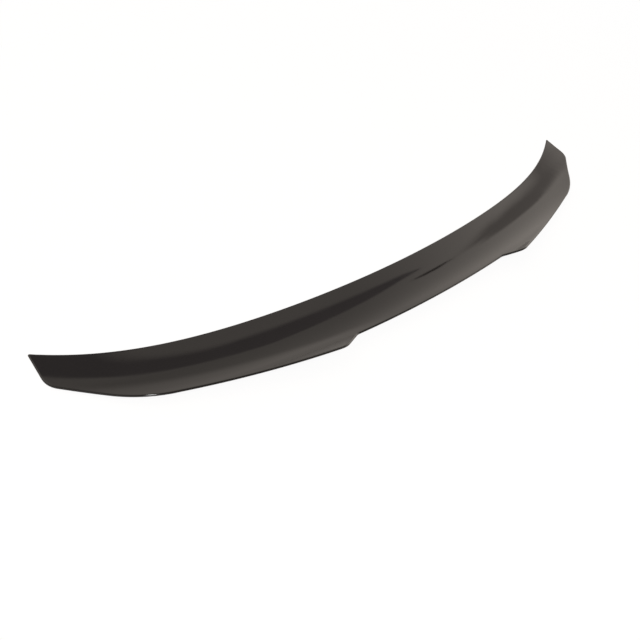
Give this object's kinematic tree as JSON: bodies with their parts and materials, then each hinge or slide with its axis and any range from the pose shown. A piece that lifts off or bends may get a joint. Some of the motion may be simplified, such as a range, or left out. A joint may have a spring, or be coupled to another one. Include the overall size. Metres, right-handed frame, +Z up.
{
  "type": "car rear spoiler",
  "caption": "One-piece gloss black boot lid spoiler blade with a concave upturned lip, a stepped trailing edge and a flat bonding land under its leading edge.",
  "frame": {"origin": "middle of the bonding land's width, on the blade's centreline, in the plane of the land", "axes": "+X across the car to the right seen from behind, +Y to the front of the car, +Z up out of the boot lid"},
  "size_m": [1.206, 0.2043, 0.0361],
  "materials": {
    "gloss_black": "polished clear-coated black"
  },
  "bodies": {
    "root": {"spoiler_blade": "gloss_black"}
  },
  "joints": []
}
